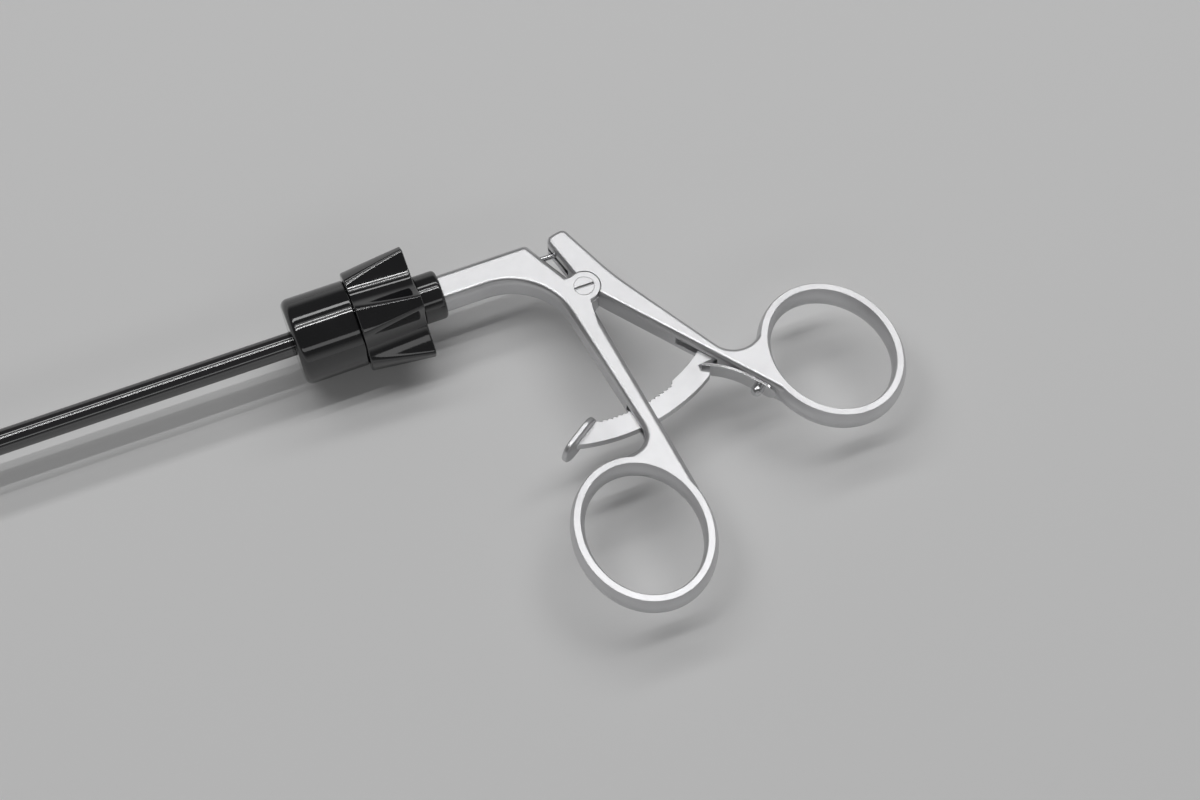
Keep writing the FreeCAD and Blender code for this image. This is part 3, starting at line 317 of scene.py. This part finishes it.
blackPieces = {"knob_cup": makeCup(), "knob_wheel": makeWheel(),
               "insulation_sleeve": makeSleeve(), "rear_collar": makeCollar()}
for nodeName, piece in blackPieces.items():
    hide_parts(nodeName)
    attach(piece, "handle" if nodeName == "rear_collar" else "shaft")
print("knob, collar and sleeve made")


def newMaterial(name):
    material = bpy.data.materials.new(name)
    material.use_nodes = True
    return material, material.node_tree, material.node_tree.nodes["Principled BSDF"]


# An empty shader group with the given inputs at their values, and the given outputs.
def newGroup(name, inputs, outputs):
    group = bpy.data.node_groups.new(name, "ShaderNodeTree")
    for key, value in inputs.items():
        kind = "NodeSocketVector" if isinstance(value, tuple) else "NodeSocketFloat"
        group.interface.new_socket(key, in_out="INPUT", socket_type=kind).default_value = value
    for key in outputs:
        kind = "NodeSocketVector" if key == "Normal" else "NodeSocketFloat"
        group.interface.new_socket(key, in_out="OUTPUT", socket_type=kind)
    return group, group.nodes.new("NodeGroupInput"), group.nodes.new("NodeGroupOutput")


# Fine grain: noise in object space, drawn out along one axis by the Stretch vector.
def makeGrain():
    group, source, sink = newGroup("fineGrain", {"Scale": 4000.0, "Stretch": (1.0, 1.0, 1.0)},
                                   ["Height"])
    place = group.nodes.new("ShaderNodeTexCoord")
    drawn = addNode(group, "ShaderNodeVectorMath", operation="MULTIPLY")
    noise = addNode(group, "ShaderNodeTexNoise", Detail=3.0, Roughness=0.62)
    group.links.new(place.outputs["Object"], drawn.inputs[0])
    group.links.new(source.outputs["Stretch"], drawn.inputs[1])
    group.links.new(drawn.outputs["Vector"], noise.inputs["Vector"])
    group.links.new(source.outputs["Scale"], noise.inputs["Scale"])
    group.links.new(noise.outputs["Fac"], sink.inputs["Height"])
    return group


handling = {"smudgeRange": (0.32, 0.68), "hairlineScale": 900.0, "hairlineLevel": 0.5,
            "hairlineWidth": 0.018}


# Handling marks: broad soft smudges, and fine hairlines where a stretched noise crosses
# its middle value, each as a mask between 0 and 1.
def makeHandling():
    group, source, sink = newGroup("handlingMarks", {"Scale": 70.0, "Stretch": (1.0, 1.0, 1.0)},
                                   ["Smudge", "Hairline"])
    place = group.nodes.new("ShaderNodeTexCoord")
    smudge = addNode(group, "ShaderNodeTexNoise", Detail=4.0, Roughness=0.55)
    spread = addRange(group, handling["smudgeRange"])
    drawn = addNode(group, "ShaderNodeVectorMath", operation="MULTIPLY")
    lines = addNode(group, "ShaderNodeTexNoise", Scale=handling["hairlineScale"],
                    Detail=2.0, Roughness=0.5)
    away = addNode(group, "ShaderNodeMath", operation="SUBTRACT")
    size = addNode(group, "ShaderNodeMath", operation="ABSOLUTE")
    narrow = addRange(group, (0.0, handling["hairlineWidth"]), (1.0, 0.0))
    away.inputs[1].default_value = handling["hairlineLevel"]
    group.links.new(place.outputs["Object"], smudge.inputs["Vector"])
    group.links.new(source.outputs["Scale"], smudge.inputs["Scale"])
    group.links.new(smudge.outputs["Fac"], spread.inputs["Value"])
    group.links.new(spread.outputs["Result"], sink.inputs["Smudge"])
    group.links.new(place.outputs["Object"], drawn.inputs[0])
    group.links.new(source.outputs["Stretch"], drawn.inputs[1])
    group.links.new(drawn.outputs["Vector"], lines.inputs["Vector"])
    group.links.new(lines.outputs["Fac"], away.inputs[0])
    group.links.new(away.outputs["Value"], size.inputs[0])
    group.links.new(size.outputs["Value"], narrow.inputs["Value"])
    group.links.new(narrow.outputs["Result"], sink.inputs["Hairline"])
    return group


# Worn and highlit edges: the rounded normal of a Bevel node, and a mask that grows with the
# angle between it and the true normal. The mask lightens the colour along edges, both as wear
# and as a painted highlight.
def makeWornAndHighlitEdges():
    group, source, sink = newGroup("wornAndHighlitEdges", {"Radius": 0.0002, "Gain": 6.0},
                                   ["Mask", "Normal"])
    bevel = addNode(group, "ShaderNodeBevel", samples=6)
    geometry = group.nodes.new("ShaderNodeNewGeometry")
    dot = addNode(group, "ShaderNodeVectorMath", operation="DOT_PRODUCT")
    less = addNode(group, "ShaderNodeMath", operation="SUBTRACT")
    gain = addNode(group, "ShaderNodeMath", operation="MULTIPLY", use_clamp=True)
    less.inputs[0].default_value = 1.0
    group.links.new(source.outputs["Radius"], bevel.inputs["Radius"])
    group.links.new(bevel.outputs["Normal"], dot.inputs[0])
    group.links.new(geometry.outputs["Normal"], dot.inputs[1])
    group.links.new(dot.outputs["Value"], less.inputs[1])
    group.links.new(less.outputs["Value"], gain.inputs[0])
    group.links.new(source.outputs["Gain"], gain.inputs[1])
    group.links.new(gain.outputs["Value"], sink.inputs["Mask"])
    group.links.new(bevel.outputs["Normal"], sink.inputs["Normal"])
    return group


grainGroup, handlingGroup, wornAndHighlitEdgesGroup = makeGrain(), makeHandling(), makeWornAndHighlitEdges()


# One use of a group in a material, with its own values.
def placeGroup(tree, group, **values):
    node = tree.nodes.new("ShaderNodeGroup")
    node.node_tree = group
    for key, value in values.items():
        node.inputs[key].default_value = value
    return node


# Value of a mask mapped onto a range.
def mapped(tree, socket, low, high):
    node = addRange(tree, (0.0, 1.0), (low, high))
    tree.links.new(socket, node.inputs["Value"])
    return node.outputs["Result"]


# Colour between a first and a second, each a plain colour or a socket.
def blended(tree, factor, first, second):
    node = addNode(tree, "ShaderNodeMix", data_type="RGBA")
    tree.links.new(factor, node.inputs["Factor"])
    for key, value in (("A", first), ("B", second)):
        if isinstance(value, tuple):
            node.inputs[key].default_value = (*value, 1.0)
        else:
            tree.links.new(value, node.inputs[key])
    return node.outputs["Result"]


# One finish: smudges move the colour and the roughness between two values, hairlines lighten it
# as scratches, edges lighten it both as wear and as a painted highlight, and the grain stands on
# the bevelled normal as a bump.
def makeFinish(name, look):
    material, tree, shader = newMaterial(name)
    shader.inputs["Metallic"].default_value = look["metallic"]
    shader.inputs["IOR"].default_value = look["ior"]
    grain = placeGroup(tree, grainGroup, Scale=look["grain"], Stretch=look["stretch"])
    marks = placeGroup(tree, handlingGroup, Scale=look["smudge"], Stretch=look["stretch"])
    edgeWearAndHighlight = placeGroup(tree, wornAndHighlitEdgesGroup, Radius=look["edge"] * mm, Gain=look["wearAndHighlightGain"])
    colour = blended(tree, marks.outputs["Smudge"], look["dark"], look["light"])
    hairline = mapped(tree, marks.outputs["Hairline"], 0.0, look["hairline"])
    colour = blended(tree, hairline, colour, look["wearAndHighlight"])
    # The edges take the lighter colour: wear, and also a painted highlight along them.
    colour = blended(tree, edgeWearAndHighlight.outputs["Mask"], colour, look["wearAndHighlight"])
    tree.links.new(colour, shader.inputs["Base Color"])
    rough = mapped(tree, marks.outputs["Smudge"], *look["roughness"])
    tree.links.new(rough, shader.inputs["Roughness"])
    bump = addNode(tree, "ShaderNodeBump", Strength=look["bump"], Distance=look["depth"] * mm)
    tree.links.new(grain.outputs["Height"], bump.inputs["Height"])
    tree.links.new(edgeWearAndHighlight.outputs["Normal"], bump.inputs["Normal"])
    tree.links.new(bump.outputs["Normal"], shader.inputs["Normal"])
    return material


unstretched = (1.0, 1.0, 1.0)
# The lighter edge colour of each finish is wear on hairlines and edges, and on edges also a
# painted highlight.
looks = {
    "satinSteel": {"metallic": 1.0, "ior": 1.5, "dark": (0.58, 0.58, 0.59),
                   "light": (0.66, 0.66, 0.67), "wearAndHighlight": (0.74, 0.74, 0.75), "wearAndHighlightGain": 5.0,
                   "hairline": 0.05, "roughness": (0.30, 0.38), "grain": 7000.0,
                   "smudge": 90.0, "stretch": unstretched, "bump": 0.5, "depth": 0.012,
                   "edge": 0.22},
    "brightSteel": {"metallic": 1.0, "ior": 1.5, "dark": (0.62, 0.62, 0.63),
                    "light": (0.70, 0.70, 0.71), "wearAndHighlight": (0.76, 0.76, 0.77), "wearAndHighlightGain": 4.0,
                    "hairline": 0.15, "roughness": (0.15, 0.24), "grain": 5000.0,
                    "smudge": 120.0, "stretch": unstretched, "bump": 0.25, "depth": 0.008,
                    "edge": 0.12},
    "blackPlastic": {"metallic": 0.0, "ior": 1.8, "dark": (0.006, 0.006, 0.007),
                     "light": (0.010, 0.010, 0.011), "wearAndHighlight": (0.030, 0.030, 0.032),
                     "wearAndHighlightGain": 2.0, "hairline": 0.2, "roughness": (0.03, 0.08),
                     "grain": 1500.0, "smudge": 110.0, "stretch": unstretched, "bump": 0.12,
                     "depth": 0.02, "edge": 0.15},
    "blackSleeve": {"metallic": 0.0, "ior": 2.1, "dark": (0.007, 0.007, 0.008),
                    "light": (0.011, 0.011, 0.012), "wearAndHighlight": (0.025, 0.025, 0.027),
                    "wearAndHighlightGain": 1.0, "hairline": 0.2, "roughness": (0.05, 0.11), "grain": 900.0,
                    "smudge": 140.0, "stretch": (0.06, 1.0, 1.0), "bump": 0.12,
                    "depth": 0.02, "edge": 0.1},
    "sealRubber": {"metallic": 0.0, "ior": 1.5, "dark": (0.020, 0.020, 0.020),
                   "light": (0.034, 0.034, 0.033), "wearAndHighlight": (0.05, 0.05, 0.05), "wearAndHighlightGain": 1.0,
                   "hairline": 0.0, "roughness": (0.55, 0.70), "grain": 3000.0,
                   "smudge": 200.0, "stretch": unstretched, "bump": 0.3, "depth": 0.02,
                   "edge": 0.1},
}
finishes = {name: makeFinish(name, look) for name, look in looks.items()}
carriedNodes = {
    "satinSteel": ("fixed_handle", "thumb_handle", "jaw_clevis", "upper_jaw", "lower_jaw",
                   "release_tab", "ratchet_bar", "shaft_hub", "pivot_screw"),
    "brightSteel": ("outer_tube", "jaw_pin", "pull_rod", "rod_blade", "drive_pin",
                    "rod_ball_end", "hub_snap_ring", "ratchet_pin",
                    "leaf_spring", "spring_screw"),
    "sealRubber": ("rod_seal",),
}


def paint(piece, material):
    piece.data.materials.clear()
    piece.data.materials.append(material)


for finishName, nodeNames in carriedNodes.items():
    for nodeName in nodeNames:
        paint(nodes[nodeName], finishes[finishName])
for nodeName, piece in blackPieces.items():
    isSleeve = nodeName == "insulation_sleeve"
    paint(piece, finishes["blackSleeve" if isSleeve else "blackPlastic"])
print("finishes made:", ", ".join(finishes))

floor = {"half": 8.0, "colour": (0.82, 0.82, 0.82), "roughness": 0.9, "sweep": 0.54,
         "sweepRange": (0.32, 0.85)}


# The floor is matt near the object, and beyond it turns into an even pale glow, so that it
# meets the horizon without a dark band. The glow grows with the distance from the origin, and
# only the camera and reflections see it, so it puts no light on the object.
def makeFloor():
    low, half = cadBounds[0][2], floor["half"]
    mesh = bpy.data.meshes.new("floor")
    mesh.from_pydata([(-half, -half, low), (half, -half, low), (half, half, low),
                      (-half, half, low)], [], [(0, 1, 2, 3)])
    piece = bpy.data.objects.new("floor", mesh)
    bpy.context.scene.collection.objects.link(piece)
    material, tree, shader = newMaterial("paleFloor")
    shader.inputs["Base Color"].default_value = (*floor["colour"], 1.0)
    shader.inputs["Roughness"].default_value = floor["roughness"]
    place = tree.nodes.new("ShaderNodeTexCoord")
    reach = addNode(tree, "ShaderNodeVectorMath", operation="LENGTH")
    share = addRange(tree, floor["sweepRange"], curve="SMOOTHSTEP")
    rays = tree.nodes.new("ShaderNodeLightPath")
    seen = rays.outputs["Is Camera Ray"]
    for kind in ("Is Glossy Ray", "Is Transmission Ray"):
        either = addNode(tree, "ShaderNodeMath", operation="MAXIMUM")
        tree.links.new(seen, either.inputs[0])
        tree.links.new(rays.outputs[kind], either.inputs[1])
        seen = either.outputs["Value"]
    part = addNode(tree, "ShaderNodeMath", operation="MULTIPLY")
    glow = addNode(tree, "ShaderNodeEmission", Strength=floor["sweep"])
    mix = tree.nodes.new("ShaderNodeMixShader")
    tree.links.new(place.outputs["Object"], reach.inputs[0])
    tree.links.new(reach.outputs["Value"], share.inputs["Value"])
    tree.links.new(share.outputs["Result"], part.inputs[0])
    tree.links.new(seen, part.inputs[1])
    tree.links.new(part.outputs["Value"], mix.inputs["Fac"])
    tree.links.new(shader.outputs["BSDF"], mix.inputs[1])
    tree.links.new(glow.outputs["Emission"], mix.inputs[2])
    tree.links.new(mix.outputs["Shader"], tree.nodes["Material Output"].inputs["Surface"])
    paint(piece, material)


makeFloor()
